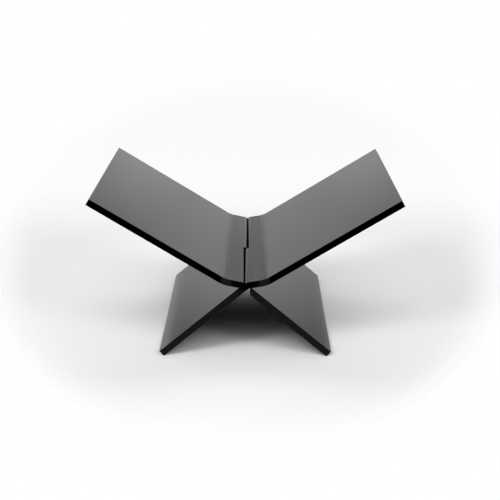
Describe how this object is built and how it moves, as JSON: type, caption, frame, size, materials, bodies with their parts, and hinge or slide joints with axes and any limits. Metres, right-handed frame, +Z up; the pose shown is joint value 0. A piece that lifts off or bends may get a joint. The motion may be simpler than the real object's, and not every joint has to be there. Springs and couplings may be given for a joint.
{
  "type": "book stand",
  "caption": "Open-book stand of bent black acrylic panels that cross like an X and interlock near half depth, its wings forming a V for the book. Closes like scissors.",
  "frame": {"origin": "on the floor, in the middle of the stand, below the axis about which the panels turn", "axes": "+Z up; the wings spread along X; the sheets and the turning axis run along Y, with the front at -Y"},
  "size_m": [0.36, 0.26, 0.1921],
  "materials": {
    "black_acrylic": "black cast acrylic sheet, glossy faces and dull cut edges"
  },
  "bodies": {
    "right_panel": {"right_panel": "black_acrylic"},
    "left_panel": {"left_panel": "black_acrylic"}
  },
  "joints": [
    {"name": "fold", "type": "hinge", "parent": "right_panel", "child": "left_panel", "pos_m": [0, 0, 0.08892], "axis": [0, 1, 0], "range_deg": [0, 40]}
  ]
}
